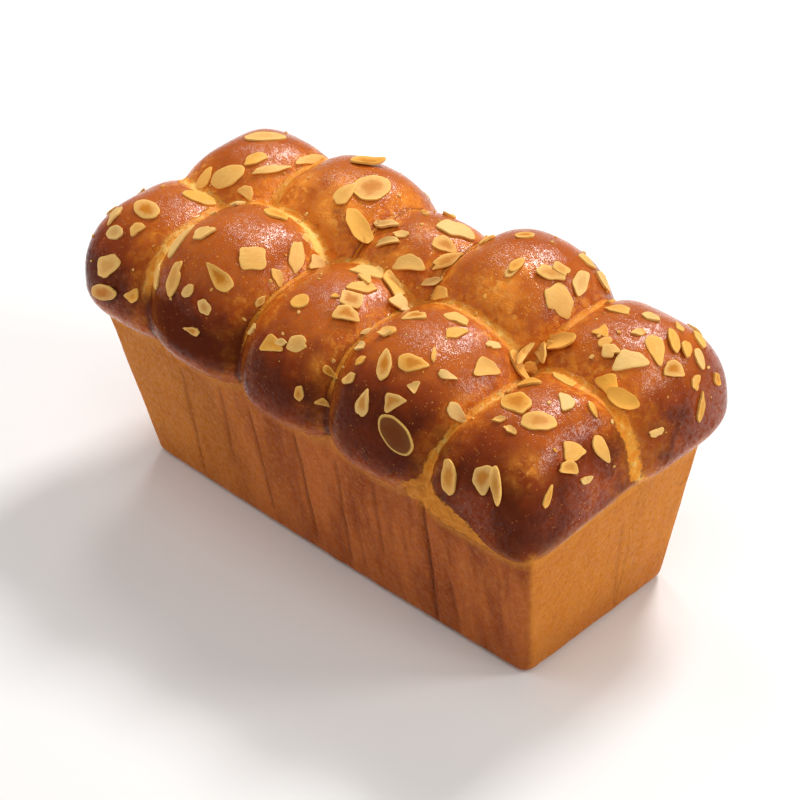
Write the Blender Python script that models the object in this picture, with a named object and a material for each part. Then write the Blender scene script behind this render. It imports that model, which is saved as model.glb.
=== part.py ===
"""A brioche loaf that was baked in a tapered tin.

The dough filled the tin and rose over its rim as ten lobes in two rows, which baked together
into one piece. Almond flakes are stuck to the crust, so they are part of the same solid.
+X runs along the loaf, +Z is up, and the origin is the middle of its base.
"""

import math
import random

import bmesh
import bpy
from mathutils import Vector

MM = 0.001

# The block that filled the tin, in metres: its length and width at the rim and at the base,
# how far it rises under the lobes, and how far its edges are rounded.
RIM_HEIGHT = 0.076
RIM_LENGTH = 0.251
RIM_WIDTH = 0.109
BASE_LENGTH = 0.227
BASE_WIDTH = 0.086
SHOULDER_RISE = 0.010
SIDE_BULGE = 0.002
TOP_ROUND = 0.010
CORNER_ROUND = 0.006
BASE_ROUND = 0.004
SIDE_CUTS = 5
ROUND_STEPS = 3

# The lobes, in millimetres: middle (x, y, z), half length, half width, rise above the middle and
# drop below it, and last how square the lobe is seen from above, where 2 is an ellipse.
LOBES = {
    "front_1": (-106, -27, 91, 34, 36, 40, 19, 3.2),
    "front_2": (-60, -27, 93, 37, 39, 46, 21, 2.6),
    "front_3": (-8, -23, 89, 35, 42, 40, 19, 2.6),
    "front_4": (43, -20, 88, 38, 43, 42, 20, 2.5),
    "front_5": (97.5, -17, 79, 30, 41, 40, 17, 6.0),
    "back_1": (-97, 17, 93, 34, 39, 48, 20, 3.0),
    "back_2": (-51, 27, 95, 39, 37, 46, 19, 2.8),
    "back_3": (-3, 24, 92, 36, 34, 44, 19, 2.5),
    "back_4": (43, 32, 94, 36, 40, 48, 20, 2.6),
    "back_5": (96, 36, 84, 35, 39, 43, 19, 3.4),
}
LOBE_SIDES = 24
LOBE_RINGS = 14
LOBE_FULLNESS = 2.2

# The largest flakes, as they lie on the lobes: lobe, compass bearing from its middle and how far up,
# both in degrees, length and width in millimetres, turn in degrees, and form.
PLACED_FLAKES = [
    ("front_1", -100, 30, 17, 10, 15, "shard"),
    ("front_1", -99, 11, 18, 8, -12, "oval"),
    ("front_1", -99, 74, 15, 10, -42, "oval"),
    ("front_1", -128, 55, 11, 5, 64, "sliver"),
    ("front_1", 52, 71, 15, 9, -33, "oval"),
    ("front_2", -137, 55, 18, 7, 80, "oval"),
    ("front_2", -128, 32, 12, 8, 100, "drop"),
    ("front_2", -106, 42, 17, 8, 67, "shard"),
    ("front_2", -64, 53, 16, 10, 129, "drop"),
    ("front_2", -30, 63, 12, 11, 6, "square"),
    ("front_2", 16, 54, 16, 8, 77, "shard"),
    ("front_2", 28, 44, 12, 7, 14, "wedge"),
    ("front_2", -121, 70, 11, 7, 27, "shard"),
    ("front_2", 78, 68, 12, 11, -44, "shard"),
    ("front_3", -106, 66, 8, 8, -7, "oval"),
    ("front_3", -98, 38, 14, 8, -7, "wedge"),
    ("front_3", -77, 44, 10, 8, 13, "shard"),
    ("front_3", 87, 65, 16, 12, -19, "shard"),
    ("front_3", 58, 55, 17, 10, -96, "shard"),
    ("front_3", 36, 52, 11, 10, -29, "wedge"),
    ("front_3", 34, 74, 15, 7, -3, "sliver"),
    ("front_3", -14, 73, 10, 9, -13, "square"),
    ("front_3", -33, 64, 12, 8, -12, "half"),
    ("front_4", 167, 74, 11, 8, -1, "half"),
    ("front_4", 78, 73, 12, 8, -40, "shard"),
    ("front_4", 27, 76, 11, 6, 26, "shard"),
    ("front_4", -95, 56, 14, 9, 88, "drop"),
    ("front_4", -66, 62, 13, 11, -15, "drop"),
    ("front_4", 8, 52, 15, 9, 11, "wedge"),
    ("front_4", -94, 33, 11, 9, 66, "drop"),
    ("front_4", -74, 40, 11, 8, 28, "wedge"),
    ("front_4", -67, 23, 19, 12, -60, "oval"),
    ("front_4", -30, 34, 11, 8, -45, "drop"),
    ("front_4", 34, 37, 14, 6, -71, "curl"),
    ("front_5", -140, 78, 17, 12, -42, "shard"),
    ("front_5", -45, 73, 14, 10, -7, "oval"),
    ("front_5", 104, 58, 15, 8, -88, "shard"),
    ("front_5", 43, 74, 10, 7, -90, "half"),
    ("front_5", -108, 24, 15, 8, 72, "curl"),
    ("front_5", -85, 34, 13, 11, 50, "half"),
    ("front_5", -73, 33, 16, 5, -82, "curl"),
    ("front_5", -13, 53, 13, 10, 35, "wedge"),
    ("front_5", 19, 41, 13, 9, -48, "drop"),
    ("back_1", -81, 64, 16, 11, 20, "oval"),
    ("back_1", -107, 57, 11, 9, 60, "drop"),
    ("back_1", 104, 82, 18, 9, -1, "oval"),
    ("back_2", 1, 72, 18, 14, 25, "oval"),
    ("back_2", -48, 72, 13, 10, 51, "drop"),
    ("back_2", 94, 74, 15, 9, -13, "curl"),
    ("back_2", -36, 52, 18, 9, -63, "curl"),
    ("back_3", 45, 73, 18, 12, -21, "shard"),
    ("back_3", -9, 71, 11, 11, -37, "drop"),
    ("back_3", -20, 62, 17, 6, 26, "sliver"),
    ("back_3", -64, 62, 15, 8, -6, "half"),
    ("back_4", -125, 42, 15, 7, -6, "shard"),
    ("back_4", -9, 54, 16, 14, -34, "shard"),
    ("back_4", -4, 68, 14, 7, -8, "shard"),
    ("back_4", 21, 54, 14, 8, 59, "shard"),
    ("back_5", -129, 55, 17, 9, -5, "curl"),
    ("back_5", -45, 64, 18, 10, 15, "wedge"),
    ("back_5", -4, 65, 14, 11, -88, "drop"),
    ("back_5", 0, 52, 11, 8, 3, "half"),
    ("back_5", 24, 62, 11, 5, -89, "oval"),
    ("back_5", 30, 44, 9, 5, -71, "oval"),
    ("back_5", 13, 21, 14, 4, 98, "sliver"),
    ("back_5", -61, 50, 13, 9, -43, "wedge"),
    ("back_5", -50, 40, 14, 9, -22, "curl"),
]

# The smaller flakes between them are drawn by a seeded rule.
SEED = 11
DRAWS_PER_LOBE = 60
SMALL_PER_LOBE = 4
FLAKE_FORMS = ("oval", "drop", "shard", "half", "wedge", "sliver")
SMALL_LENGTH = (6.0, 10.0)
FLAKE_SPACING = 0.62
OVAL_STEPS = 8

# Corners of the broken forms, as shares of the flake's length and width.
BROKEN_FORMS = {
    "half": [(-0.5, -0.35), (0.5, -0.42), (0.38, 0.2), (0.05, 0.5), (-0.33, 0.3)],
    "shard": [(-0.5, -0.1), (-0.12, -0.5), (0.5, -0.34), (0.36, 0.3), (-0.2, 0.5)],
    "sliver": [(-0.5, -0.1), (0.05, -0.5), (0.5, 0.05), (0.1, 0.5), (-0.3, 0.4)],
    "square": [(-0.5, -0.42), (0.4, -0.5), (0.5, 0.4), (-0.4, 0.5)],
    "wedge": [(-0.5, -0.38), (0.5, -0.5), (0.3, 0.1), (-0.05, 0.5)],
}
FLAKE_ABOVE = 1.0
FLAKE_BELOW = 1.6
CURL_LIFT = 3.0
BEND_UP = 0.6
BEND_DOWN = 3.5
LAYER = 0.7
UP_THE_PICTURE = Vector((-1.0, 1.0, 1.4))


def signed_power(value, power):
    """value raised to a power, with its sign kept."""
    return math.copysign(abs(value) ** power, value)


def mesh_object(name, bm, collection):
    """A new object that holds bm, which is freed."""
    bmesh.ops.recalc_face_normals(bm, faces=bm.faces[:])
    mesh = bpy.data.meshes.new(name)
    bm.to_mesh(mesh)
    bm.free()
    obj = bpy.data.objects.new(name, mesh)
    collection.objects.link(obj)
    return obj


def edges_where(bm, test):
    """The edges whose two ends both pass a test."""
    return [edge for edge in bm.edges if all(test(vert.co) for vert in edge.verts)]


def round_edges(bm, edges, offset):
    bmesh.ops.bevel(bm, geom=edges, offset=offset, segments=ROUND_STEPS, profile=0.5, affect="EDGES")


def tin_block(collection):
    """The tapered block under the lobes, with rounded edges and slightly full sides."""
    top = RIM_HEIGHT + SHOULDER_RISE
    flare = top / RIM_HEIGHT
    top_length = BASE_LENGTH + (RIM_LENGTH - BASE_LENGTH) * flare
    top_width = BASE_WIDTH + (RIM_WIDTH - BASE_WIDTH) * flare
    bm = bmesh.new()
    bmesh.ops.create_cube(bm, size=1.0)
    for vert in bm.verts:
        at_top = vert.co.z > 0
        vert.co.x *= top_length if at_top else BASE_LENGTH
        vert.co.y *= top_width if at_top else BASE_WIDTH
        vert.co.z = top if at_top else 0.0
    round_edges(bm, edges_where(bm, lambda co: co.z > top / 2), TOP_ROUND)
    round_edges(bm, [e for e in bm.edges if abs(e.verts[0].co.z - e.verts[1].co.z) > top / 2], CORNER_ROUND)
    round_edges(bm, edges_where(bm, lambda co: co.z < MM), BASE_ROUND)
    lengthwise = [e for e in bm.edges if abs(e.verts[0].co.x - e.verts[1].co.x) > BASE_LENGTH / 2]
    bmesh.ops.subdivide_edges(bm, edges=lengthwise, cuts=SIDE_CUTS, use_grid_fill=True)
    for vert in bm.verts:
        across = vert.co.y / (RIM_WIDTH / 2)
        from_middle = abs(vert.co.x) / (RIM_LENGTH / 2)
        vert.co.y += SIDE_BULGE * across * max(0.0, 1 - from_middle**2)
    return mesh_object("tin_block", bm, collection)


def lobe_object(name, collection):
    """One risen lobe: a sphere made fuller, squarer from above, and flatter below than above."""
    x, y, z, half_length, half_width, rise, drop, squareness = LOBES[name]
    bm = bmesh.new()
    bmesh.ops.create_uvsphere(bm, u_segments=LOBE_SIDES, v_segments=LOBE_RINGS, radius=1.0)
    for vert in bm.verts:
        up = signed_power(vert.co.z, 2 / LOBE_FULLNESS)
        reach = math.hypot(vert.co.x, vert.co.y) ** (2 / LOBE_FULLNESS)
        angle = math.atan2(vert.co.y, vert.co.x)
        along = signed_power(math.cos(angle), 2 / squareness) * reach
        across = signed_power(math.sin(angle), 2 / squareness) * reach
        height = rise if up > 0 else drop
        vert.co = Vector((x + half_length * along, y + half_width * across, z + height * up)) * MM
    return mesh_object(name, bm, collection)


def lobe_level(point, lobe):
    """How far out a point lies from a lobe's middle, where 1 is on the lobe's surface."""
    x, y, z, half_length, half_width, rise, drop, squareness = lobe
    height = rise if point.z > z else drop
    flat = abs((point.x - x) / half_length) ** squareness + abs((point.y - y) / half_width) ** squareness
    upright = abs((point.z - z) / height) ** LOBE_FULLNESS
    return (flat ** (LOBE_FULLNESS / squareness) + upright) ** (1 / LOBE_FULLNESS)


def crust_level(point):
    """The same for all the lobes together, so under 1 is inside the crust."""
    return min(lobe_level(point, lobe) for lobe in LOBES.values())


def spot_on_lobe(lobe, bearing, up):
    """The point of a lobe's surface in a direction from its middle, and the way the surface faces there."""
    bearing, up = math.radians(bearing), math.radians(up)
    way = Vector((math.cos(up) * math.cos(bearing), math.cos(up) * math.sin(bearing), math.sin(up)))
    middle = Vector(lobe[:3])
    spot = middle + way / lobe_level(middle + way, lobe)
    slope = []
    for axis in (Vector((1, 0, 0)), Vector((0, 1, 0)), Vector((0, 0, 1))):
        slope.append(lobe_level(spot + axis * 0.01, lobe) - lobe_level(spot - axis * 0.01, lobe))
    return spot, Vector(slope).normalized()


def crust_below(point, facing):
    """Where a line through a point, along the way the surface faces, meets the crust.

    A flake bends only a little, so the search stays near the point.
    """
    outside, inside = BEND_UP, -BEND_DOWN
    for _ in range(8):
        middle = (outside + inside) / 2
        if crust_level(point + facing * middle) > 1.0:
            outside = middle
        else:
            inside = middle
    return point + facing * outside


def outline(form, length, width):
    """The corners of a flake seen flat, in millimetres."""
    if form in BROKEN_FORMS:
        return [(length * u, width * v) for u, v in BROKEN_FORMS[form]]
    corners = []
    for step in range(OVAL_STEPS):
        angle = 2 * math.pi * step / OVAL_STEPS
        u = 0.5 * math.cos(angle)
        taper = 1 - 0.7 * (u + 0.5) if form == "drop" else 1.0
        corners.append((length * u, width * 0.5 * math.sin(angle) * taper))
    return corners


def small_flakes(placed):
    """Draws the smaller flakes where they leave the others some room and no lobe covers them."""
    draw = random.Random(SEED)
    middles = [(spot_on_lobe(LOBES[row[0]], row[1], row[2])[0], row[3]) for row in placed]
    small = []
    for name, lobe in LOBES.items():
        added = 0
        for _ in range(DRAWS_PER_LOBE):
            bearing = draw.uniform(-180, 180)
            up = math.degrees(math.asin(draw.uniform(0.25, 0.98)))
            length = draw.uniform(*SMALL_LENGTH)
            width = length * draw.uniform(0.45, 0.8)
            turn = draw.uniform(-180, 180)
            form = draw.choice(FLAKE_FORMS)
            spot, facing = spot_on_lobe(lobe, bearing, up)
            roomy = all((spot - other).length > FLAKE_SPACING * (length + size) for other, size in middles)
            if added < SMALL_PER_LOBE and roomy and crust_level(spot + facing * 3) > 1.03:
                middles.append((spot, length))
                small.append((name, bearing, up, length, width, turn, form))
                added += 1
    return small


def flake_object(index, row, layer, collection):
    """One flake: a thin plate that follows the crust, with its underside sunk into it."""
    name, bearing, up, length, width, turn, form = row
    spot, facing = spot_on_lobe(LOBES[name], bearing, up)
    side = UP_THE_PICTURE.cross(facing).normalized()
    along = side * math.cos(math.radians(turn)) + facing.cross(side) * math.sin(math.radians(turn))
    across = facing.cross(along)
    bm = bmesh.new()
    upper, lower = [], []
    for u, v in [(0.0, 0.0), *outline(form, length, width)]:
        foot = crust_below(spot + along * u + across * v, facing)
        lift = CURL_LIFT * max(0.0, 2 * u / length) ** 2 if form == "curl" else 0.0
        upper.append(bm.verts.new((foot + facing * (FLAKE_ABOVE + LAYER * layer + lift)) * MM))
        lower.append(bm.verts.new((foot - facing * FLAKE_BELOW) * MM))
    count = len(upper) - 1
    for step in range(count):
        here, there = step + 1, (step + 1) % count + 1
        bm.faces.new((upper[0], upper[here], upper[there]))
        bm.faces.new((lower[0], lower[there], lower[here]))
        bm.faces.new((upper[here], lower[here], lower[there]))
        bm.faces.new((upper[here], lower[there], upper[there]))
    return mesh_object(f"flake_{index}", bm, collection)


def flake_layers(rows):
    """How many earlier flakes each flake lies on."""
    layers = []
    spots = [spot_on_lobe(LOBES[row[0]], row[1], row[2])[0] for row in rows]
    for index, row in enumerate(rows):
        under = [
            layers[other]
            for other in range(index)
            if (spots[index] - spots[other]).length < 0.4 * (row[3] + rows[other][3])
        ]
        layers.append(max(under) + 1 if under else 0)
    return layers


def crust_material():
    material = bpy.data.materials.new("baked_crust")
    material.use_nodes = True
    shader = material.node_tree.nodes["Principled BSDF"]
    shader.inputs["Base Color"].default_value = (0.38, 0.13, 0.03, 1.0)
    shader.inputs["Roughness"].default_value = 0.4
    return material


def add_collection(name):
    collection = bpy.data.collections.new(name)
    bpy.context.scene.collection.children.link(collection)
    return collection


def main():
    for obj in list(bpy.data.objects):
        bpy.data.objects.remove(obj)
    pieces = add_collection("brioche")
    fused = add_collection("fused_pieces")
    block = tin_block(pieces)
    for name in LOBES:
        lobe_object(name, fused)
    rows = PLACED_FLAKES + small_flakes(PLACED_FLAKES)
    layers = flake_layers(rows)
    for index, row in enumerate(rows):
        flake_object(index, row, layers[index], fused)

    join = block.modifiers.new("join", "BOOLEAN")
    join.operand_type = "COLLECTION"
    join.collection = fused
    join.operation = "UNION"
    join.solver = "EXACT"
    bpy.context.view_layer.update()
    graph = bpy.context.evaluated_depsgraph_get()
    loaf = bpy.data.objects.new("loaf", bpy.data.meshes.new_from_object(block.evaluated_get(graph)))
    loaf.data.name = "loaf"
    loaf.data.materials.clear()
    loaf.data.materials.append(crust_material())
    loaf.data.shade_smooth()
    loaf.data.set_sharp_from_angle(angle=math.radians(35))
    pieces.objects.link(loaf)
    for obj in [block, *fused.objects]:
        bpy.data.objects.remove(obj)
    bpy.data.collections.remove(fused)


main()
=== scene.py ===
"""The look of a brioche loaf with almond flakes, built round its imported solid.

Sizes are in millimetres. Finished meshes, the camera and the lights are in metres.
"""

import math
import random
from types import SimpleNamespace

import bpy
import numpy as np
from mathutils import Matrix, Vector, noise


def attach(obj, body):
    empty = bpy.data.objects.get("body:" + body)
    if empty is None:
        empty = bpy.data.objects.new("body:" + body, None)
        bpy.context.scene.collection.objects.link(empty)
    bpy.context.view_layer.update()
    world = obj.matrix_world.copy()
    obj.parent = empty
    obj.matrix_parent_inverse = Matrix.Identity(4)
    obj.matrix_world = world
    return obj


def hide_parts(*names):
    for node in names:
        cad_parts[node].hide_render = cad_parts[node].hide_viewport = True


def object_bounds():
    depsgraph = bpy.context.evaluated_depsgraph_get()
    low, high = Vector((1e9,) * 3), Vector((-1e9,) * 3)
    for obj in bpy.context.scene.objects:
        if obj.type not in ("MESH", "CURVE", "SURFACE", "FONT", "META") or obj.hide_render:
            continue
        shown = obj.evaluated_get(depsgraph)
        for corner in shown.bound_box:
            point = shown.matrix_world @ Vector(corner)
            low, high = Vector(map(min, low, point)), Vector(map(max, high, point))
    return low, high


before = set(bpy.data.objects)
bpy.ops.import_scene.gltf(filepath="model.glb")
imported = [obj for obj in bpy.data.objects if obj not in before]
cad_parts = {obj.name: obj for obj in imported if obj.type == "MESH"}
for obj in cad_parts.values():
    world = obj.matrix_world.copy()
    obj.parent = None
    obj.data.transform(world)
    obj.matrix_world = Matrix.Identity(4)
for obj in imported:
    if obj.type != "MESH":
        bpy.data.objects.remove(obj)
CAD_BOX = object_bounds()

MM = 0.001

# The block that filled the tin, and the lobes that rose over its rim, as in the solid.
RIM_HEIGHT, RIM_LENGTH, RIM_WIDTH = 76.0, 251.0, 109.0
BASE_LENGTH, BASE_WIDTH = 227.0, 86.0
SHOULDER_RISE, SIDE_BULGE = 10.0, 2.0
TOP_ROUND, CORNER_ROUND, BASE_ROUND = 10.0, 6.0, 4.0
LOBES = {
    "front_1": (-106, -27, 91, 34, 36, 40, 19, 3.2),
    "front_2": (-60, -27, 93, 37, 39, 46, 21, 2.6),
    "front_3": (-8, -23, 89, 35, 42, 40, 19, 2.6),
    "front_4": (43, -20, 88, 38, 43, 42, 20, 2.5),
    "front_5": (97.5, -17, 79, 30, 41, 40, 17, 6.0),
    "back_1": (-97, 17, 93, 34, 39, 48, 20, 3.0),
    "back_2": (-51, 27, 95, 39, 37, 46, 19, 2.8),
    "back_3": (-3, 24, 92, 36, 34, 44, 19, 2.5),
    "back_4": (43, 32, 94, 36, 40, 48, 20, 2.6),
    "back_5": (96, 36, 84, 35, 39, 43, 19, 3.4),
}
LOBE_FULLNESS = 2.2
SEAM_BLEND = 2.4
RIM_BLEND = 2.0
# The skin's mesh: how fine it is, and how it is drawn onto the true shape.
VOXEL = 1.36
SHAPE_STEPS, LONGEST_STEP = 5, 1.5
LOBE_SIDES, LOBE_RINGS = 48, 24

# The largest flakes on each lobe: bearing from its middle and how far up (degrees), length and width,
# turn (degrees), and form, as in the solid, and last how toasted it is in tenths, below 0 for a flake
# in shade painted brighter as painted light.
FLAKES_ON_LOBES = {
    "front_1": [
        (-100, 30, 17, 10, 15, "shard", 4), (-99, 11, 18, 8, -12, "oval", 10),
        (-99, 74, 15, 10, -42, "oval", 9), (-128, 55, 11, 5, 64, "sliver", 2),
        (52, 71, 15, 9, -33, "oval", 1),
    ],
    "front_2": [
        (-137, 55, 18, 7, 80, "oval", 2), (-128, 32, 12, 8, 100, "drop", 3),
        (-106, 42, 17, 8, 67, "shard", 4), (-64, 53, 16, 10, 129, "drop", 8),
        (-30, 63, 12, 11, 6, "square", 2), (16, 54, 16, 8, 77, "shard", 1),
        (28, 44, 12, 7, 14, "wedge", 1), (-121, 70, 11, 7, 27, "shard", 2),
        (78, 68, 12, 11, -44, "shard", 4),
    ],
    "front_3": [
        (-106, 66, 8, 8, -7, "oval", 2), (-98, 38, 14, 8, -7, "wedge", 3),
        (-77, 44, 10, 8, 13, "shard", 3), (87, 65, 16, 12, -19, "shard", 0),
        (58, 55, 17, 10, -96, "shard", 0), (36, 52, 11, 10, -29, "wedge", 0),
        (34, 74, 15, 7, -3, "sliver", 1), (-14, 73, 10, 9, -13, "square", 7),
        (-33, 64, 12, 8, -12, "half", 8),
    ],
    "front_4": [
        (167, 74, 11, 8, -1, "half", 7), (78, 73, 12, 8, -40, "shard", 1),
        (27, 76, 11, 6, 26, "shard", 2), (-95, 56, 14, 9, 88, "drop", 9),
        (-66, 62, 13, 11, -15, "drop", 7), (8, 52, 15, 9, 11, "wedge", 1),
        (-94, 33, 11, 9, 66, "drop", 6), (-74, 40, 11, 8, 28, "wedge", 6),
        (-67, 23, 19, 12, -60, "oval", 14), (-30, 34, 11, 8, -45, "drop", 2),
        (34, 37, 14, 6, -71, "curl", 1),
    ],
    "front_5": [
        (-140, 78, 17, 12, -42, "shard", 9), (-45, 73, 14, 10, -7, "oval", 6),
        (104, 58, 15, 8, -88, "shard", 1), (43, 74, 10, 7, -90, "half", 1),
        (-108, 24, 15, 8, 72, "curl", 6), (-85, 34, 13, 11, 50, "half", 7),
        (-73, 33, 16, 5, -82, "curl", 5), (-13, 53, 13, 10, 35, "wedge", 1),
        (19, 41, 13, 9, -48, "drop", 1),
    ],
    "back_1": [
        (-81, 64, 16, 11, 20, "oval", 1), (-107, 57, 11, 9, 60, "drop", -3),
        (104, 82, 18, 9, -1, "oval", 3),
    ],
    "back_2": [
        (1, 72, 18, 14, 25, "oval", 8), (-48, 72, 13, 10, 51, "drop", 3),
        (94, 74, 15, 9, -13, "curl", 7), (-36, 52, 18, 9, -63, "curl", -3),
    ],
    "back_3": [
        (45, 73, 18, 12, -21, "shard", 0), (-9, 71, 11, 11, -37, "drop", 7),
        (-20, 62, 17, 6, 26, "sliver", 6), (-64, 62, 15, 8, -6, "half", -2),
    ],
    "back_4": [
        (-125, 42, 15, 7, -6, "shard", -3), (-9, 54, 16, 14, -34, "shard", 2),
        (-4, 68, 14, 7, -8, "shard", 5), (21, 54, 14, 8, 59, "shard", 3),
    ],
    "back_5": [
        (-129, 55, 17, 9, -5, "curl", -3), (-45, 64, 18, 10, 15, "wedge", 1),
        (-4, 65, 14, 11, -88, "drop", 1), (0, 52, 11, 8, 3, "half", 9),
        (24, 62, 11, 5, -89, "oval", 1), (30, 44, 9, 5, -71, "oval", 1),
        (13, 21, 14, 4, 98, "sliver", 3), (-61, 50, 13, 9, -43, "wedge", -5),
        (-50, 42, 14, 8, -30, "curl", -4),
    ],
}
PLACED_FLAKES = [(lobe, *row) for lobe, rows in FLAKES_ON_LOBES.items() for row in rows]
# Small broken pieces between them: lobe, and then the same values.
BROKEN_FLAKES = [
    ("front_1", -108, 50, 9, 7, -9, "oval", 4), ("front_1", -86, 60, 8, 6, 32, "half", 3),
    ("front_2", -88, 41, 7, 5, 29, "oval", 3), ("front_2", -71, 36, 8, 6, -43, "shard", 5),
    ("front_2", -12, 50, 9, 5, -60, "shard", 1), ("front_3", -15, 51, 8, 3, 16, "sliver", 1),
    ("front_3", 62, 72, 9, 5, -60, "wedge", 0), ("front_4", -118, 48, 6, 4, 30, "sliver", 2),
    ("front_4", -135, 65, 7, 4, -4, "sliver", 2), ("front_4", -42, 68, 8, 2.4, 82, "sliver", 0),
    ("front_4", 34, 55, 8, 4, -1, "shard", 1), ("front_4", -31, 55, 8, 5, -21, "drop", 1),
    ("front_4", -61, 49, 6, 5, 70, "wedge", 1), ("front_5", -107, 65, 6, 3, 1, "sliver", 3),
    ("front_5", -84, 64, 7, 3, -31, "shard", 1), ("front_5", -23, 44, 10, 6, 2, "half", 5),
    ("back_1", -47, 77, 12, 6, 31, "shard", 1), ("back_1", -54, 57, 8, 6, -38, "half", 2),
    ("back_3", -40, 52, 10, 4, 12, "sliver", 1), ("back_4", -41, 22, 9, 6, -24, "wedge", -4),
    ("back_4", -52, 76, 9, 5, 50, "oval", 4), ("back_4", 12, 66, 8, 5, -30, "square", 4),
    ("back_5", -83, 72, 6, 5, 34, "oval", 2), ("back_5", -68, 67, 8, 7, 25, "shard", 2),
    ("back_5", -114, 77, 8, 7, -20, "wedge", 1), ("back_5", -6, 79, 7, 4, -1, "sliver", 2),
    ("back_5", 25, 54, 7, 5, -91, "oval", 1), ("back_5", 49, 60, 6, 4, -87, "sliver", 1),
    ("back_5", 47, 47, 9, 6, -74, "shard", 1), ("back_5", 15, 37, 7, 5, 80, "half", 1),
    ("back_5", 68, 74, 8, 6, -31, "shard", 2), ("back_1", -22, 69, 20, 4, 11, "sliver", 1),
    ("back_1", 38, 60, 20, 5, 18, "sliver", 2), ("back_3", -157, 67, 18, 6, -15, "sliver", 4),
    ("back_3", -114, 68, 12, 4, 5, "half", 3), ("back_4", -43, 23, 9, 5, -13, "half", -4),
    ("front_5", 144, 68, 12, 9, -7, "drop", 1), ("front_4", 40, 39, 13, 3.5, 40, "curl", 1),
    ("back_5", -131, 44, 15, 6, -46, "shard", 2), ("back_4", 51, 53, 11, 6, -39, "sliver", 3),
    ("back_4", 44, 40, 13, 6, -52, "sliver", 2), ("back_4", 118, 79, 8, 5, -2, "oval", 7),
    ("back_5", 144, 75, 13, 7, -30, "shard", 2), ("front_3", -48, 79, 4, 3, -3, "wedge", 0),
    ("front_3", -89, 41, 6, 3.5, -7, "sliver", 3),
]
SEED = 11
DRAWS_PER_LOBE = 60
SMALL_PER_LOBE = 4
FLAKE_FORMS = ("oval", "drop", "shard", "half", "wedge", "sliver")
SMALL_LENGTH = (6.0, 10.0)
SMALL_WIDTH_SHARE = (0.45, 0.8)
SMALL_HEIGHT_SHARE = (0.25, 0.98)
FLAKE_SPACING = 0.62
CLEAR_ABOVE, CLEAR_LEVEL = 3, 1.03
BROKEN_FORMS = {
    "half": [(-0.5, -0.35), (0.5, -0.42), (0.38, 0.2), (0.05, 0.5), (-0.33, 0.3)],
    "shard": [(-0.5, -0.1), (-0.12, -0.5), (0.5, -0.34), (0.36, 0.3), (-0.2, 0.5)],
    "sliver": [(-0.5, -0.1), (0.05, -0.5), (0.5, 0.05), (0.1, 0.5), (-0.3, 0.4)],
    "square": [(-0.5, -0.42), (0.4, -0.5), (0.5, 0.4), (-0.4, 0.5)],
    "wedge": [(-0.5, -0.38), (0.5, -0.5), (0.3, 0.1), (-0.05, 0.5)],
}
UP_THE_PICTURE = np.array([-1.0, 1.0, 1.4])
FLAKE_ABOVE, CURL_LIFT, LAYER = 0.65, 3.0, 0.7
LAYER_REACH = 0.4
BEND_UP, BEND_DOWN, BEND_HALVINGS = 0.6, 3.5, 9
FLAKE_THICKNESS = 1.2
OUTLINE_STEPS = 32
SHARP_ANGLE = 38
CRUMBS = 110
CRUMB_SIZE = (0.7, 2.4)
CRUMB_CORNERS = 6
CRUMB_SEED = 5
BOX_MARGIN = 0.05

# How wide the pale dough shows between two lobes, and how dark the crust of each lobe is.
SEAM_WIDTHS = {
    ("front_1", "front_2"): 3.0,
    ("front_2", "front_3"): 1.1,
    ("front_3", "front_4"): 1.2,
    ("front_4", "front_5"): 2.4,
    ("front_5", "back_5"): 2.1,
    ("back_4", "back_5"): 1.5,
    ("back_3", "back_4"): 0.7,
    ("back_2", "back_3"): 0.9,
    ("back_1", "back_2"): 2.4,
    ("front_1", "back_1"): 3.6,
    ("front_2", "back_1"): 3.6,
    ("front_2", "back_2"): 6.5,
    ("front_3", "back_2"): 3.0,
    ("front_3", "back_3"): 3.0,
}
OTHER_SEAM_WIDTH = 2.2
WIDEST_ON_BACK_ROW = 2.4
# Seams that stay open and pale down to the rim; the rest close into notches there, darkened with painted
# shade.
OPEN_SEAMS = [("front_4", "front_5"), ("front_5", "back_5")]
# For each lobe, how dark its outward face is, and how far up and down the dark part reaches; the darkness is
# partly browner crust and partly painted shade on the faces turned from the lights.
BAKED_AND_SHADED = {
    "front_1": (0.8, 0.98, 0.2),
    "front_2": (1.0, 0.92, 0.2),
    "front_3": (0.82, 0.98, 0.2),
    "front_4": (0.84, 1.12, 0.2),
    "front_5": (0.8, 1.1, -0.3),
    "back_1": (0.6, 0.98, 0.1),
    "back_2": (0.6, 0.98, 0.1),
    "back_3": (0.6, 0.98, 0.1),
    "back_4": (0.7, 0.98, 0.1),
    "back_5": (0.6, 0.95, -0.1),
}

# The torn strip of dough under the lobe at the near corner: along x, its lower and upper edges.
TORN_ALONG = [62, 72, 82, 95, 104, 113]
TORN_LOW = [76.5, 73.4, 71.8, 71.2, 71, 70.5]
TORN_HIGH = [84, 91, 86, 82.5, 78, 69]
TORN_START, TORN_END, TORN_BACK = 61, 118, -30
NOT_TORN = -9
# How much gold shows in patches on the flanks that face the middle, partly the crust's gold and partly
# painted light on flanks in shade.
GILDED_AND_LIT = {
    "back_1": 0.6, "back_2": 1.0, "back_3": 0.3, "back_4": 0.4, "back_5": 0.2,
    "front_2": 0.5, "front_5": 0.3,
}
# Single golden patches: where each lies, how wide and how strong it is; the last four, on the tops of the
# back lobes, are painted highlight.
GOLD_AND_HIGHLIGHT_SPOTS = [
    (114, -44, 109, 7, 0.6), (11, -53, 113, 4, 0.6), (50, 11, 136, 9, 1.0), (60, 9, 131, 7, 1.0),
    (-66, 8, 134, 12, 1.0), (-40, 8, 135, 12, 1.0), (74, -35, 112, 6, 0.8), (-1, 4, 129, 7, 1.0),
    (-47, 20, 140, 9, 0.55), (55, 26, 140, 7, 0.45), (-28, 38, 133, 9, 0.4), (0, 22, 136, 7, 0.35),
]
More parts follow.
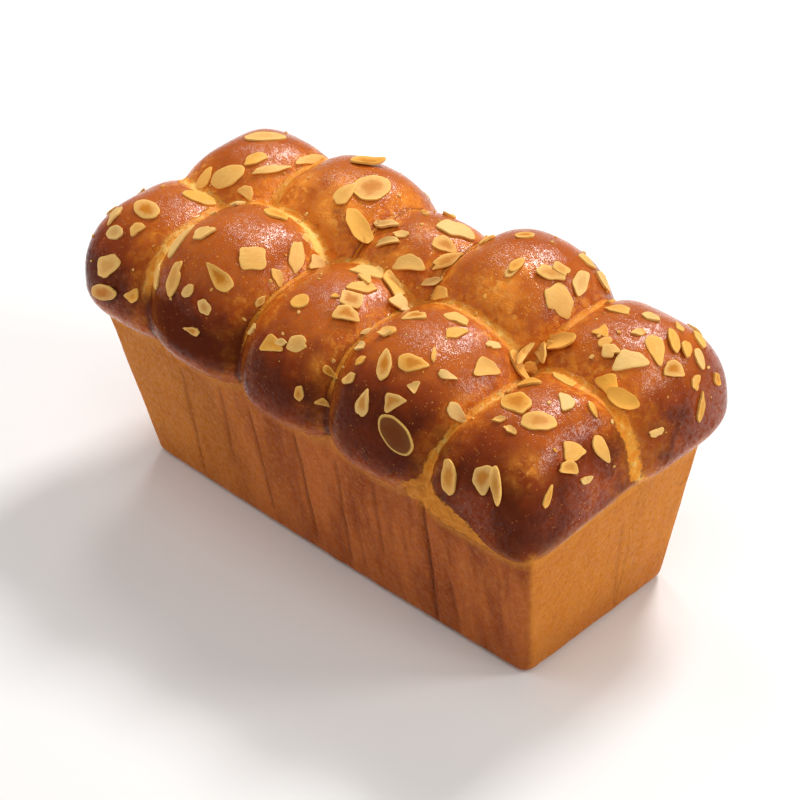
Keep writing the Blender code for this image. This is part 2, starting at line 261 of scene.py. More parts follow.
# Single patches darker, or lighter where the strength is below 0, partly browning and partly painted shade;
# the lighter one at (127, -17, 88) is a painted sheen low on the end.
DARKER_AND_LIGHTER_SPOTS = [
    (95, -40, 113, 14, 0.26), (98, -57, 89, 12, -0.25), (129, 22, 98, 14, 0.2), (-117, -56, 116, 14, 0.12),
    (127, -17, 88, 12, -0.5), (130, 50, 96, 12, -0.2), (-48, -48, 129, 14, -0.14),
]
# The lower edge of the crust on the end that shows: along y, its height.
END_EDGE_ALONG = [-58, -45, -20, 3, 15, 30, 60]
END_EDGE_HEIGHT = [70, 72, 75.5, 78, 76, 73.5, 71]

# Upright creases in the sides: where each crosses mid-height, how far its top leans, its lowest and
# highest point, and its strength.
FRONT_CREASES = [
    (-77, 5, 4, 70, 0.6), (-52, 5, 26, 74, 0.6), (-32, 1, 10, 73, 0.8), (-5, 1, 6, 74, 0.9),
    (17, 6, 5, 72, 0.8), (25, 2, 8, 52, 0.4), (39, 2, 26, 70, 0.7), (46, 0, 34, 52, 0.3),
    (54, 1, 34, 58, 0.4), (67, 6, 3, 77, 1.2), (77, -2, 6, 36, 0.7),
]
BACK_CREASES = [
    (-88, -3, 8, 72, 0.8), (-61, 2, 20, 74, 0.6), (-40, -2, 5, 70, 1.0), (-14, 1, 10, 60, 0.6),
    (8, -4, 6, 74, 0.9), (33, 2, 25, 72, 0.7), (58, -2, 5, 74, 1.0), (84, 3, 12, 66, 0.6),
]
END_CREASES = [(7, -6, 4, 56, 0.3), (-47, -11, 3, 74, 0.25)]
CREASE_REACH = 1.7
CREASE_WOBBLE = 0.9
# How deep the relief of the skin is: hollows, seams, slack sides, torn strip and creases.
HOLLOW_DEPTH, SEAM_DEPTH, SLACK_DEPTH, TORN_DEPTH, CREASE_DEPTH = 0.3, 0.5, 0.25, 0.5, 0.5

CAMERA_AZIMUTH, CAMERA_ELEVATION, CAMERA_ROLL = 46.28, 37.17, -2.92
CAMERA_DISTANCE = 1.1939
CAMERA_AIM = (0.0, 0.00199, 0.05914)
CAMERA_LENS, CAMERA_SENSOR = 126.0, 36.0
# The studio's soft lights: name, place, size, watts, colour, and whether the glaze mirrors them.
LIGHTS = [
    ("window", (-0.13, 0.86, 1.10), (0.33, 0.28), 12.4, (1.0, 0.98, 0.97), True),
    ("far_window", (-0.72, 0.60, 1.13), (0.26, 0.26), 3.1, (1.0, 0.98, 0.97), True),
    ("side_window", (0.98, 0.69, 0.81), (0.34, 0.34), 5.0, (1.0, 0.97, 0.92), True),
    ("end_panel", (1.30, 0.05, 0.50), (0.8, 0.6), 4.8, (1.0, 0.97, 0.92), False),
    ("overhead", (0.15, -0.35, 1.4), (1.0, 1.0), 5.0, (1.0, 0.98, 0.95), False),
    ("left_panel", (-1.25, -0.75, 0.35), (0.8, 0.6), 8.4, (1.0, 0.96, 0.93), False),
]
LIGHT_AIM = (0.0, 0.0, 0.09)
WORLD_STRENGTH = 0.22
FLOOR_REACH = 3000

# Colours of the crust, in linear light.
# The two darkest tones stand partly for browner crust and partly for painted shade.
DARK_BROWN = (0.097, 0.0190, 0.0085)
MAROON = (0.26, 0.042, 0.008)
BROWN = (0.32, 0.054, 0.007)
RED_BROWN = (0.50, 0.120, 0.013)
TOP_BROWN = (0.47, 0.105, 0.012)
DEEP_ORANGE = (0.53, 0.110, 0.009)
ORANGE = (0.76, 0.235, 0.021)
GOLD = (0.82, 0.335, 0.045)
PALE_GOLD = (0.92, 0.57, 0.15)
STREAK_BROWN = (0.36, 0.060, 0.006)
AMBER = (0.92, 0.300, 0.033)
GILT = (0.94, 0.42, 0.070)
TORN_BROWN = (0.62, 0.205, 0.026)
TORN_GOLD = (0.78, 0.315, 0.052)
# Painted shade in the crevices between lobes.
CREVICE_SHADE = (0.21, 0.036, 0.006)
BLISTER = (0.84, 0.34, 0.075)
# A painted highlight along the crust's lip over the end.
LIP_SHEEN = (0.78, 0.38, 0.18)
END_GOLD = (0.56, 0.177, 0.020)
END_LIGHT = (0.61, 0.210, 0.027)
# The front long side's tones: partly browner crust, partly painted shade.
LONG_BROWN = (0.29, 0.057, 0.0135)
LONG_LIGHT = (0.51, 0.134, 0.030)
GRAIN_LIGHT = (0.68, 0.28, 0.058)
GRAIN_DARK = (0.34, 0.090, 0.011)
LOW_BROWN = (0.33, 0.085, 0.016)
FRINGE_GOLD = (0.70, 0.29, 0.050)
# Painted shade in the side creases.
CREASE_SHADE = (0.20, 0.045, 0.010)
# Colours of the almonds: two raw tones, their streaks, three depths of toast, painted light for the flakes
# in shade, and the rim.
ALMOND_YELLOW = (0.80, 0.350, 0.032)
ALMOND_CREAM = (0.77, 0.49, 0.180)
ALMOND_STREAK = (0.88, 0.66, 0.27)
ALMOND_HEART = (0.50, 0.160, 0.010)
ALMOND_TAN = (0.60, 0.225, 0.018)
ALMOND_BROWN = (0.12, 0.024, 0.007)
ALMOND_SHADE_GLOW = (0.98, 0.47, 0.070)
ALMOND_RIM = (0.86, 0.54, 0.14)
# The values that the crust's mesh carries for its material.
CRUST_VALUES = (
    "seam_gap", "seam_share", "past_rim", "inner_flank", "bake", "lobe_height", "torn", "notch", "crease",
    "gilded", "pale_seam", "long_side",
)


def lobe_level(points, lobe):
    """How far out points lie from a lobe's middle, where 1 is on the lobe's surface."""
    x, y, z, half_length, half_width, rise, drop, squareness = lobe
    height = np.where(points[:, 2] > z, rise, drop)
    along = np.abs((points[:, 0] - x) / half_length) ** squareness
    across = np.abs((points[:, 1] - y) / half_width) ** squareness
    upright = np.abs((points[:, 2] - z) / height) ** LOBE_FULLNESS
    return ((along + across) ** (LOBE_FULLNESS / squareness) + upright) ** (1 / LOBE_FULLNESS)


def crust_level(points):
    return np.min([lobe_level(points, lobe) for lobe in LOBES.values()], axis=0)


def lobe_distances(points):
    """About how far points lie outside each lobe."""
    found = []
    for lobe in LOBES.values():
        level = np.maximum(lobe_level(points, lobe), 0.02)
        found.append(np.linalg.norm(points - np.array(lobe[:3]), axis=1) * (1 - 1 / level))
    return np.array(found)


def rounded_cut(first, second, radius):
    """The distance to what lies inside both of two shapes, with the edge between them rounded."""
    first, second = first + radius, second + radius
    outside = np.hypot(np.maximum(first, 0), np.maximum(second, 0))
    return outside + np.minimum(np.maximum(first, second), 0) - radius


def block_reach(z):
    """Half the block's length and half its width at a height."""
    share = z / RIM_HEIGHT
    half_x = (BASE_LENGTH + (RIM_LENGTH - BASE_LENGTH) * share) / 2
    return half_x, (BASE_WIDTH + (RIM_WIDTH - BASE_WIDTH) * share) / 2


def block_distance(points):
    """About how far points lie outside the tapered block."""
    x, z = points[:, 0], points[:, 2]
    bulge = SIDE_BULGE / (RIM_WIDTH / 2) * np.maximum(0, 1 - (x / (RIM_LENGTH / 2)) ** 2)
    y = points[:, 1] / (1 + bulge)
    half_x, half_y = block_reach(z)
    sides = rounded_cut(np.abs(x) - half_x, np.abs(y) - half_y, CORNER_ROUND)
    with_base = rounded_cut(sides, -z, BASE_ROUND)
    return rounded_cut(with_base, z - RIM_HEIGHT - SHOULDER_RISE, TOP_ROUND)


def smooth_join(first, second, reach):
    near = np.maximum(reach - np.abs(first - second), 0) / reach
    return np.minimum(first, second) - near**2 * reach / 4


def loaf_distance(points):
    lobes = np.sort(lobe_distances(points), axis=0)
    return smooth_join(smooth_join(lobes[0], lobes[1], SEAM_BLEND), block_distance(points), RIM_BLEND)


def slope(field, points, step=0.05):
    """The direction in which a distance grows fastest."""
    change = []
    for axis in np.eye(3) * step:
        change.append(field(points + axis) - field(points - axis))
    change = np.array(change).T
    return change / np.maximum(np.linalg.norm(change, axis=1, keepdims=True), 1e-9)


def smoothstep(low, high, value):
    share = np.clip((value - low) / (high - low), 0, 1)
    return share * share * (3 - 2 * share)


def noise_at(points, size, seed=0.0):
    """Smooth noise from about -1 to 1 whose lumps are about size millimetres across."""
    shift = Vector((seed, seed * 1.7, seed * 2.3))
    return np.array([noise.noise(Vector(point) / size + shift) for point in points])


def mesh_object(name, points, faces, material):
    mesh = bpy.data.meshes.new(name)
    mesh.from_pydata((np.asarray(points) * MM).tolist(), [], faces)
    mesh.materials.append(material)
    mesh.shade_smooth()
    obj = bpy.data.objects.new(name, mesh)
    bpy.context.collection.objects.link(obj)
    return obj


def add_values(mesh, name, values):
    """Stores one number for each point of a mesh, for its material."""
    layer = mesh.attributes.new(name, "FLOAT", "POINT")
    layer.data.foreach_set("value", np.asarray(values, dtype=np.float32))


def grid_sphere(lobe):
    """Points and faces of one lobe."""
    sides, rings = LOBE_SIDES, LOBE_RINGS
    x, y, z, half_length, half_width, rise, drop, squareness = lobe

    def power(value, exponent):
        return math.copysign(abs(value) ** exponent, value)

    points, faces = [], []
    for ring in range(rings + 1):
        up = math.pi * (ring / rings - 0.5)
        reach = power(math.cos(up), 2 / LOBE_FULLNESS)
        height = power(math.sin(up), 2 / LOBE_FULLNESS)
        for side in range(sides):
            angle = 2 * math.pi * side / sides
            across = power(math.sin(angle), 2 / squareness)
            along = power(math.cos(angle), 2 / squareness)
            points.append((x + half_length * reach * along, y + half_width * reach * across,
                           z + height * (rise if height > 0 else drop)))
    for ring in range(rings):
        for side in range(sides):
            here, there = ring * sides + side, ring * sides + (side + 1) % sides
            faces.append((here, there, there + sides, here + sides))
    return points, faces


def rough_loaf():
    """The block and the lobes as one rough mesh, joined by remeshing."""
    points, faces = [], []
    for z in (0.0, RIM_HEIGHT + SHOULDER_RISE - 6):
        half_x, half_y = block_reach(z)
        points += [(-half_x, -half_y, z), (half_x, -half_y, z), (half_x, half_y, z), (-half_x, half_y, z)]
    faces += [(0, 3, 2, 1), (4, 5, 6, 7), (0, 1, 5, 4), (1, 2, 6, 5), (2, 3, 7, 6), (3, 0, 4, 7)]
    for lobe in LOBES.values():
        more, theirs = grid_sphere(lobe)
        faces += [tuple(corner + len(points) for corner in face) for face in theirs]
        points += more
    obj = mesh_object("rough", points, faces, None)
    remesh = obj.modifiers.new("remesh", "REMESH")
    remesh.mode = "VOXEL"
    remesh.voxel_size = VOXEL * MM
    bpy.context.view_layer.update()
    joined = bpy.data.meshes.new_from_object(obj.evaluated_get(bpy.context.evaluated_depsgraph_get()))
    bpy.data.objects.remove(obj)
    return joined


def skin_points(mesh):
    """The points of the rough mesh, moved onto the loaf's true shape."""
    points = np.empty(len(mesh.vertices) * 3)
    mesh.vertices.foreach_get("co", points)
    points = points.reshape(-1, 3) / MM
    for _ in range(SHAPE_STEPS):
        away = np.clip(loaf_distance(points), -LONGEST_STEP, LONGEST_STEP)
        points -= away[:, None] * slope(loaf_distance, points)
    return points


def pair_table(values, otherwise):
    """A table with a number for each pair of lobes."""
    names = list(LOBES)
    table = np.full((len(names), len(names)), float(otherwise))
    for (one, other), value in values.items():
        table[names.index(one), names.index(other)] = value
        table[names.index(other), names.index(one)] = value
    return table


def patch(points, spot):
    """How strong a single round patch is at points."""
    x, y, z, wide, strength = spot
    apart = np.linalg.norm(points - [x, y, z], axis=1)
    return strength * np.exp(-((apart / wide) ** 2))


def baked_and_shaded_share(points, facing, nearest, height, lumps):
    """How dark the crust is: darkest on the outward faces just above the rim, partly browning and partly
    painted shade on the faces turned from the lights.
    """
    outward = np.stack([np.sign(points[:, 0]) * np.clip((np.abs(points[:, 0]) - 80) / 60, 0, 1),
                        np.clip(points[:, 1] / 40, -1, 1)], 1)
    outward /= np.maximum(np.linalg.norm(outward, axis=1, keepdims=True), 0.3)
    faces_out = np.sum(facing[:, :2] * outward, axis=1)
    dark, upper, lower = np.array([BAKED_AND_SHADED[name] for name in LOBES])[nearest].T
    bake = smoothstep(-0.15, 0.75, faces_out + 0.22 * lumps)
    bake *= dark * smoothstep(0.0, 0.63, upper - height - 0.1 * lumps)
    bake *= 1 - 0.85 * smoothstep(0.0, 0.57, lower - height)
    for spot in DARKER_AND_LIGHTER_SPOTS:
        bake = np.clip(bake + patch(points, spot), 0, 1)
    return bake


def torn_reach(points):
    """How far points lie inside the torn strip; below 0 is outside it."""
    x, y, z = points.T
    low, high = np.interp(x, TORN_ALONG, TORN_LOW), np.interp(x, TORN_ALONG, TORN_HIGH)
    near_corner = (y < TORN_BACK) & (x > TORN_START) & (x < TORN_END)
    return np.where(near_corner, np.minimum(z - low, high - z), NOT_TORN)


def crease_marks(across, up, creases, wobble):
    """Thin upright lines: 1 in the middle of each crease and 0 away from it."""
    total = np.zeros(len(up))
    for middle, lean, low, high, strength in creases:
        line = middle + lean * (up / RIM_HEIGHT - 0.5) + wobble
        mark = strength * smoothstep(CREASE_REACH, 0, np.abs(across - line))
        mark *= smoothstep(low - 3, low + 6, up) * smoothstep(high + 3, high - 6, up)
        total = np.maximum(total, mark)
    return total


def side_creases(points):
    """The creases of all four sides."""
    x, y, z = points.T
    wobble = CREASE_WOBBLE * noise_at(points, 22, 6.0)
    front = crease_marks(x, z, FRONT_CREASES, wobble) * smoothstep(-35, -40, y)
    back = crease_marks(x, z, BACK_CREASES, wobble) * smoothstep(35, 40, y)
    end = crease_marks(y, z, END_CREASES, wobble) * smoothstep(108, 112, np.abs(x))
    return np.maximum(np.maximum(front, back), end)


def crust_object(material):
    """The loaf's whole skin, drawn onto its true shape, with the values that its material reads."""
    mesh = rough_loaf()
    points = skin_points(mesh)
    facing = slope(loaf_distance, points)

    # Which lobes lie nearest, how far the seam between them is, and how far below the lobes a point is.
    distances = lobe_distances(points)
    nearest, next_one = np.argsort(distances, axis=0)[:2]
    closest, second = np.sort(distances, axis=0)[:2]
    gap = second - closest
    past_rim = closest - block_distance(points)
    side = smoothstep(-1.5, 1.5, past_rim)
    seam_width = pair_table(SEAM_WIDTHS, OTHER_SEAM_WIDTH)[nearest, next_one]
    on_back_row = (nearest > 4) & (next_one < 5)
    seam_width = np.where(on_back_row, np.minimum(seam_width, WIDEST_ON_BACK_ROW), seam_width)
    lobes = np.array(list(LOBES.values()))[nearest]
    row = np.where(nearest < 5, -1, 1)
    height = (points[:, 2] - lobes[:, 2]) / np.where(points[:, 2] > lobes[:, 2], lobes[:, 5], lobes[:, 6])

    lumps = noise_at(points, 26, 3.0) + 0.5 * noise_at(points, 11, 8.0)
    bake = baked_and_shaded_share(points, facing, nearest, height, lumps)
    inner = smoothstep(0.0, 0.7, -row * facing[:, 1]) * smoothstep(0.95, 0.4, height)
    gilded = inner * np.array([GILDED_AND_LIT.get(name, 0.0) for name in LOBES])[nearest]
    for spot in GOLD_AND_HIGHLIGHT_SPOTS:
        gilded = np.maximum(gilded, patch(points, spot))
    torn = torn_reach(points)
    crease = side * side_creases(points)
    edge_height = np.interp(points[:, 1], END_EDGE_ALONG, END_EDGE_HEIGHT)
    on_end = (points[:, 0] > 110) & (facing[:, 0] > 0.5)
    shown_rim = np.where(on_end, np.maximum(past_rim, edge_height - points[:, 2]), past_rim)
    notch = pair_table({pair: 0 for pair in OPEN_SEAMS}, 1)[nearest, next_one]
    notch *= smoothstep(0.55, 0.25, height) * smoothstep(0, 12, row * (points[:, 1] - lobes[:, 1]))

    # Relief: shallow hollows, torn seams and strips, creases, and the slack skin of the sides.
    wrinkle = noise_at(points, 3.2, 5.0)
    slack = noise_at(points * [1, 1, 0.4], 7, 2.0)
    near_seam = np.exp(-gap / seam_width) * (1 - side)
    inward = HOLLOW_DEPTH * (1 - side) * (0.5 - lumps) + near_seam * SEAM_DEPTH * (wrinkle + 0.3)
    inward += side * SLACK_DEPTH * (0.6 + slack)
    inward += smoothstep(-0.5, 1.5, torn) * TORN_DEPTH * (0.4 + wrinkle) + CREASE_DEPTH * crease
    points -= facing * np.maximum(inward, 0)[:, None]
    points[:, 2] = np.maximum(points[:, 2], 0)
    mesh.vertices.foreach_set("co", (points * MM).ravel())
    mesh.update()

    pale_seam = 0.06 * (seam_width - 2.5)
    # The front long side, partly browner crust and partly painted shade, fading out toward the left end as
    # painted light.
    long_side = smoothstep(0.3, 0.8, -facing[:, 1]) * smoothstep(-125, 5, points[:, 0])
    values = (gap, gap / seam_width, shown_rim, inner, bake, height, torn, notch, crease, gilded,
              pale_seam, long_side)
    for name, value in zip(CRUST_VALUES, values):
        add_values(mesh, name, value)
    mesh.materials.clear()
    mesh.materials.append(material)
    mesh.shade_smooth()
    obj = bpy.data.objects.new("baked_crust", mesh)
    bpy.context.collection.objects.link(obj)
    return obj


def spot_on_lobe(lobe, bearing, up):
    """The point of a lobe's surface in a direction from its middle, and the way it faces there."""
    bearing, up = math.radians(bearing), math.radians(up)
    way = np.array([math.cos(up) * math.cos(bearing), math.cos(up) * math.sin(bearing), math.sin(up)])
    middle = np.array(lobe[:3], dtype=float)
    spot = middle + way / lobe_level((middle + way)[None], lobe)[0]
    facing = slope(lambda points: lobe_level(points, lobe), spot[None], 0.01)[0]
    return spot, facing


def crust_below(points, facing):
    """Where lines through points, along the way the surface faces, meet the crust nearby."""
    outside = np.full(len(points), BEND_UP)
    inside = np.full(len(points), -BEND_DOWN)
    for _ in range(BEND_HALVINGS):
        middle = (outside + inside) / 2
        out = crust_level(points + facing * middle[:, None]) > 1
        outside = np.where(out, middle, outside)
        inside = np.where(out, inside, middle)
    return points + facing * outside[:, None]


def small_flakes(placed):
    """Draws the smaller flakes by the same seeded rule as in the solid."""
    draw = random.Random(SEED)
    middles = [(spot_on_lobe(LOBES[row[0]], row[1], row[2])[0], row[3]) for row in placed]
    small = []
    for name, lobe in LOBES.items():
        added = 0
        for _ in range(DRAWS_PER_LOBE):
            bearing = draw.uniform(-180, 180)
            up = math.degrees(math.asin(draw.uniform(*SMALL_HEIGHT_SHARE)))
            length = draw.uniform(*SMALL_LENGTH)
            width = length * draw.uniform(*SMALL_WIDTH_SHARE)
            turn = draw.uniform(-180, 180)
            form = draw.choice(FLAKE_FORMS)
            spot, facing = spot_on_lobe(lobe, bearing, up)
            roomy = all(
                np.linalg.norm(spot - other) > FLAKE_SPACING * (length + size) for other, size in middles
            )
            clear = crust_level((spot + facing * CLEAR_ABOVE)[None])[0] > CLEAR_LEVEL
            if added < SMALL_PER_LOBE and roomy and clear:
                middles.append((spot, length))
                small.append((name, bearing, up, length, width, turn, form))
                added += 1
    return small


def flake_layers(rows):
    """How many earlier flakes each flake lies on."""
    layers = []
    spots = [spot_on_lobe(LOBES[row[0]], row[1], row[2])[0] for row in rows]
    for index, row in enumerate(rows):
        under = [
            layers[other]
            for other in range(index)
            if np.linalg.norm(spots[index] - spots[other]) < LAYER_REACH * (row[3] + rows[other][3])
        ]
        layers.append(max(under) + 1 if under else 0)
    return layers


def flake_outline(form, draw):
    """A flake's outline as shares of its length and width, evenly stepped round, a little ragged."""
    if form in BROKEN_FORMS:
        corners = np.array(BROKEN_FORMS[form])
        for _ in range(2):
            ahead = np.roll(corners, -1, axis=0)
            corners = np.stack([corners * 0.88 + ahead * 0.12, corners * 0.12 + ahead * 0.88], 1)
            corners = corners.reshape(-1, 2)
    else:
        angles = np.linspace(0, 2 * np.pi, 48, endpoint=False)
        u = 0.5 * np.cos(angles)
        taper = 1 - 0.7 * (u + 0.5) if form == "drop" else 1 - 0.18 * (u + 0.5)
        corners = np.stack([u, 0.5 * np.sin(angles) * taper], 1)
    closed = np.vstack([corners, corners[:1]])
    reach = np.concatenate([[0], np.cumsum(np.linalg.norm(np.diff(closed, axis=0), axis=1))])
    steps = np.linspace(0, reach[-1], OUTLINE_STEPS, endpoint=False)
    even = np.stack([np.interp(steps, reach, closed[:, 0]), np.interp(steps, reach, closed[:, 1])], 1)
    turn = np.linspace(0, 2 * np.pi, OUTLINE_STEPS, endpoint=False)
    share = 1 + draw.uniform(0.015, 0.05) * np.sin(3 * turn + draw.uniform(0, 6.28))
    share += draw.uniform(0.01, 0.035) * np.sin(7 * turn + draw.uniform(0, 6.28))
    bite = draw.uniform(0, 6.28)
    depth = draw.uniform(0.15, 0.35) if draw.random() < 0.5 and form in BROKEN_FORMS else 0.0
    away = np.abs((turn - bite + np.pi) % (2 * np.pi) - np.pi)
    share -= depth * np.maximum(0, 1 - away / 0.4)
    return even * share[:, None]


class Almonds:
    """Gathers the points, faces and material values of all the flakes."""

    def __init__(self):
        self.points, self.faces, self.edge, self.tone, self.toast, self.grain = [], [], [], [], [], []

    def add_plate(self, rings, spread, tone, toast, seed):
        """Adds a plate from its rings of points, top middle first and bottom middle last."""
        start = len(self.points)
        count = len(rings[1][0])
        for level, (points, share, flat) in enumerate(rings):
            for point, (u, v) in zip(points, flat):
                self.points.append(point)
                self.edge.append(share)
                self.tone.append(tone)
                self.toast.append(toast)
                self.grain.append((u * spread[0], v * spread[1], seed))
        starts = [start]
        for points, _, _ in rings[:-1]:
            starts.append(starts[-1] + len(points))
        for step in range(count):
            after = (step + 1) % count
            self.faces.append((starts[0], starts[1] + step, starts[1] + after))
            for upper, lower in zip(starts[1:-2], starts[2:-1]):
                self.faces.append((upper + step, lower + step, lower + after, upper + after))
            self.faces.append((starts[-1], starts[-2] + after, starts[-2] + step))

    def add_flake(self, row, layer, draw):
        name, bearing, up, length, width, turn, form, toast = row
        spot, facing = spot_on_lobe(LOBES[name], bearing, up)
        side = np.cross(UP_THE_PICTURE, facing)
        side /= np.linalg.norm(side)
        turn = math.radians(turn)
        along = side * math.cos(turn) + np.cross(facing, side) * math.sin(turn)
        across = np.cross(facing, along)
        shape = flake_outline(form, draw)
        cup, wave, phase = draw.uniform(-0.1, 0.5), draw.uniform(0.05, 0.45), draw.uniform(0, 6.28)
        angles = np.linspace(0, 2 * np.pi, OUTLINE_STEPS, endpoint=False)

        def ring(share, drop):
            flat = shape * share if share > 0 else np.zeros((1, 2))
            plane = spot + np.outer(flat[:, 0] * length, along) + np.outer(flat[:, 1] * width, across)
            foot = crust_below(plane, facing)
            lift = FLAKE_ABOVE + LAYER * layer - drop + cup * share**2
            lift = lift + (wave * share**2 * np.sin(2 * angles + phase) if share > 0 else 0)
            if form == "curl":
                lift = lift + CURL_LIFT * np.maximum(0, 2 * flat[:, 0]) ** 2 + (2 * flat[:, 1]) ** 2
            return foot + np.outer(np.broadcast_to(lift, len(foot)), facing), share, flat

        thick = FLAKE_THICKNESS
        steps = [(0, 0), (0.3, 0), (0.6, 0), (0.82, 0), (0.95, 0.02), (1.0, 0.12),
                 (1.0, thick * 0.75), (0.95, thick), (0.6, thick), (0, thick)]
        rings = [ring(share, drop) for share, drop in steps]
        self.add_plate(rings, (length, width), draw.random(), toast / 10, draw.uniform(0, 50))

    def add_crumb(self, spot, facing, size, draw):
        side = np.cross(facing, [draw.uniform(-1, 1), draw.uniform(-1, 1), draw.uniform(-1, 1)])
        side /= np.linalg.norm(side)
        across = np.cross(facing, side)
        stretch = draw.uniform(0.45, 0.9)
        flat = []
        for step in range(CRUMB_CORNERS):
            angle = 2 * math.pi * (step + draw.uniform(-0.3, 0.3)) / CRUMB_CORNERS
            flat.append((0.5 * math.cos(angle), 0.5 * stretch * math.sin(angle)))
        flat = np.array(flat)
        tall = min(0.5, size * 0.3)

        def ring(share, up):
            here = flat * share if share > 0 else np.zeros((1, 2))
            foot = spot + np.outer(here[:, 0] * size, side) + np.outer(here[:, 1] * size, across)
            return foot + facing * up, share, here

        rings = [ring(0, tall), ring(0.8, tall * 0.9), ring(1.0, tall * 0.4), ring(0.9, -0.3), ring(0, -0.4)]
        self.add_plate(rings, (size, size), draw.random(), draw.random() * 0.7, draw.uniform(0, 50))


def almond_object(material):
    draw = random.Random(CRUMB_SEED)
    almonds = Almonds()
    drawn = [(*row, draw.uniform(0, 7)) for row in small_flakes(PLACED_FLAKES)]
    rows = PLACED_FLAKES + drawn + BROKEN_FLAKES
    for row, layer in zip(rows, flake_layers(rows)):
        almonds.add_flake(row, layer, draw)
    names = list(LOBES)
    crumbs = 0
    while crumbs < CRUMBS:
        lobe = LOBES[draw.choice(names)]
        bearing = draw.uniform(-180, 180)
        up = math.degrees(math.asin(draw.uniform(0.2, 1.0)))
        spot, facing = spot_on_lobe(lobe, bearing, up)
        if crust_level((spot + facing)[None])[0] > 1.0:
            spot = crust_below(spot[None], facing)[0]
            almonds.add_crumb(spot, facing, draw.uniform(*CRUMB_SIZE), draw)
            crumbs += 1
    low, high = np.array(CAD_BOX) / MM
    points = np.clip(almonds.points, low + BOX_MARGIN, high - BOX_MARGIN)
    obj = mesh_object("almond_flakes", points, almonds.faces, material)
    obj.data.set_sharp_from_angle(angle=math.radians(SHARP_ANGLE))
    add_values(obj.data, "edge", almonds.edge)
    add_values(obj.data, "tone", almonds.tone)
    add_values(obj.data, "toast", almonds.toast)
    grain = obj.data.attributes.new("grain", "FLOAT_VECTOR", "POINT")
    grain.data.foreach_set("vector", np.array(almonds.grain, dtype=np.float32).ravel())
    return obj


class Nodes:
    """Short calls for building one material's nodes."""

    def __init__(self, name):
        self.material = bpy.data.materials.new(name)
        self.material.use_nodes = True
        self.tree = self.material.node_tree
        self.shader = self.tree.nodes["Principled BSDF"]
        self.place = self.add("TexCoord").outputs["Object"]

    def put(self, socket, value):
        if isinstance(value, bpy.types.NodeSocket):
            self.tree.links.new(value, socket)
        else:
            socket.default_value = value

    def add(self, kind, values=None):
        """A new node with numbers or links in its named inputs."""
        node = self.tree.nodes.new("ShaderNode" + kind)
        for name, value in (values or {}).items():
            self.put(node.inputs[name], value)
        return node

    def math(self, operation, *values, clamp=False):
        node = self.add("Math")
        node.operation = operation
        node.use_clamp = clamp
        for socket, value in zip(node.inputs, values):
            self.put(socket, value)
        return node.outputs[0]

    def times(self, first, second, clamp=False):
        return self.math("MULTIPLY", first, second, clamp=clamp)

    def line(self, value, factor, start, clamp=False):
        """start + factor * value."""
        return self.math("MULTIPLY_ADD", value, factor, start, clamp=clamp)

    def rest(self, value):
        """What value leaves of 1."""
        return self.math("SUBTRACT", 1.0, value)

    def stir(self, value, noise_value, reach):
        """value, pushed up and down by noise, by half of reach at most."""
        return self.line(self.math("SUBTRACT", noise_value, 0.5), reach, value)

    def attribute(self, name, output):
        node = self.add("Attribute")
        node.attribute_name = name
        return node.outputs[output]

    def step(self, value, low, high):
        """0 below low and 1 above high, smooth between; the other way round where low is above high."""
        ends = (1.0, 0.0) if low > high else (0.0, 1.0)
        node = self.add("MapRange", {"Value": value, "From Min": min(low, high), "From Max": max(low, high),
                                     "To Min": ends[0], "To Max": ends[1]})
        node.interpolation_type = "SMOOTHSTEP"
        return node.outputs["Result"]

    def stretch(self, vector, scale):
        return self.add("Mapping", {"Vector": vector, "Scale": scale}).outputs["Vector"]

    def noise(self, vector, per_metre, detail=3.0, rough=0.55, distortion=0.0):
        node = self.add("TexNoise", {"Vector": vector, "Scale": per_metre, "Detail": detail,
                                     "Roughness": rough, "Distortion": distortion})
        return node.outputs["Fac"]

    def cells(self, vector, per_metre):
        """The distance to the nearest of many scattered points, and a random colour for each."""
        node = self.add("TexVoronoi", {"Vector": vector, "Scale": per_metre})
        return node.outputs["Distance"], node.outputs["Color"]

    def mix(self, share, first, second):
        node = self.add("Mix")
        node.data_type = "RGBA"
        self.put(node.inputs[0], share)
        for index, value in ((6, first), (7, second)):
            self.put(node.inputs[index], (*value, 1.0) if isinstance(value, tuple) else value)
        return node.outputs[2]

    def bump(self, height, strength, distance, under=None):
        node = self.add("Bump", {"Strength": strength, "Distance": distance, "Height": height})
        if under is not None:
            self.put(node.inputs["Normal"], under)
        return node.outputs["Normal"]

    def parts(self, vector):
        return tuple(self.add("SeparateXYZ", {"Vector": vector}).outputs)


